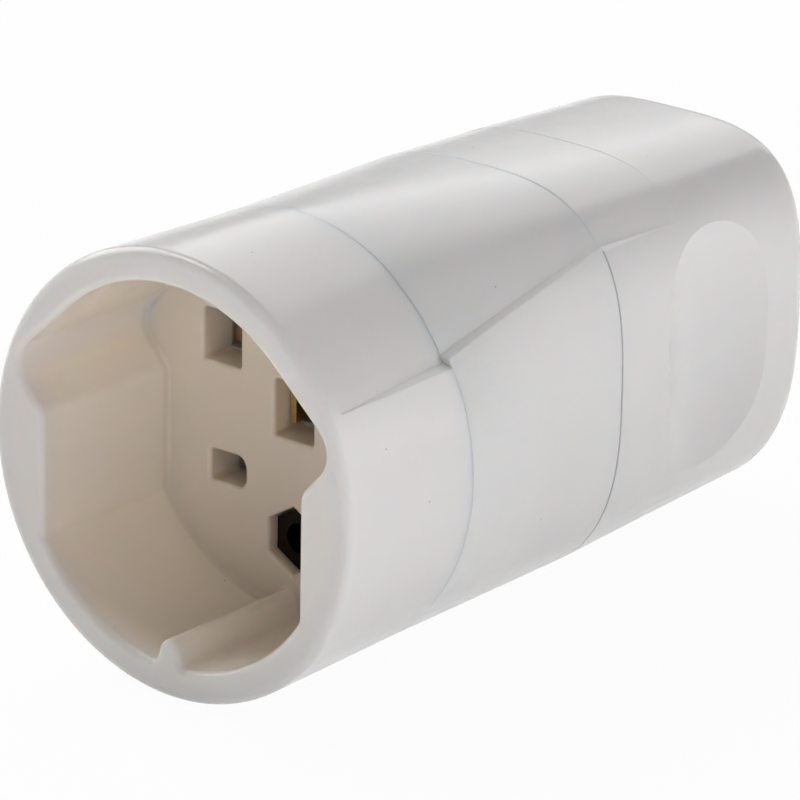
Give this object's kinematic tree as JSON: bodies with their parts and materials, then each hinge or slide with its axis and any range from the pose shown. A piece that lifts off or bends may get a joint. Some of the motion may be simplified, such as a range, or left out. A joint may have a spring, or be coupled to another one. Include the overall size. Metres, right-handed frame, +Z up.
{
  "type": "inline socket connector",
  "caption": "Inline socket connector: round keyed recess with brass contacts behind its floor, tapering to a rounded-square grip with thumb hollows, a cable clamp and a cable inlet",
  "frame": {"origin": "under the middle of the body, on the lowest level of its underside", "axes": "+X along the body from the plug recess to the cable inlet, +Z up when the key rib of the recess is at the bottom, +Y to the left as seen from the plug towards the recess"},
  "size_m": [0.079, 0.044, 0.044],
  "materials": {
    "white_gloss": "moulded white thermoset, glossy",
    "carrier_plastic": "moulded, dull, cream",
    "brass": "stamped, slightly dull",
    "spring_steel": "bright spring steel strip",
    "screw_steel": "zinc plated",
    "nut_steel": "dark plated",
    "clamp_plastic": "moulded, dull, light grey",
    "bush_rubber": "soft, white"
  },
  "bodies": {
    "root": {"front_shell": "white_gloss", "middle_shell": "white_gloss", "rear_shell": "white_gloss", "contact_carrier": "carrier_plastic", "carrier_cover": "carrier_plastic", "contact_line_1": "brass", "contact_line_2": "brass", "contact_line_3": "brass", "contact_neutral": "brass", "contact_earth": "brass", "spring_line_1": "spring_steel", "spring_line_2": "spring_steel", "spring_line_3": "spring_steel", "spring_neutral": "spring_steel", "spring_earth": "spring_steel", "terminal_screws": "screw_steel", "carrier_screws": "screw_steel", "captive_nut": "nut_steel", "assembly_screw": "screw_steel", "assembly_washer": "screw_steel", "clamp_bracket": "clamp_plastic", "clamp_saddle": "clamp_plastic", "clamp_screws": "screw_steel", "inlet_bush": "bush_rubber"}
  },
  "joints": []
}
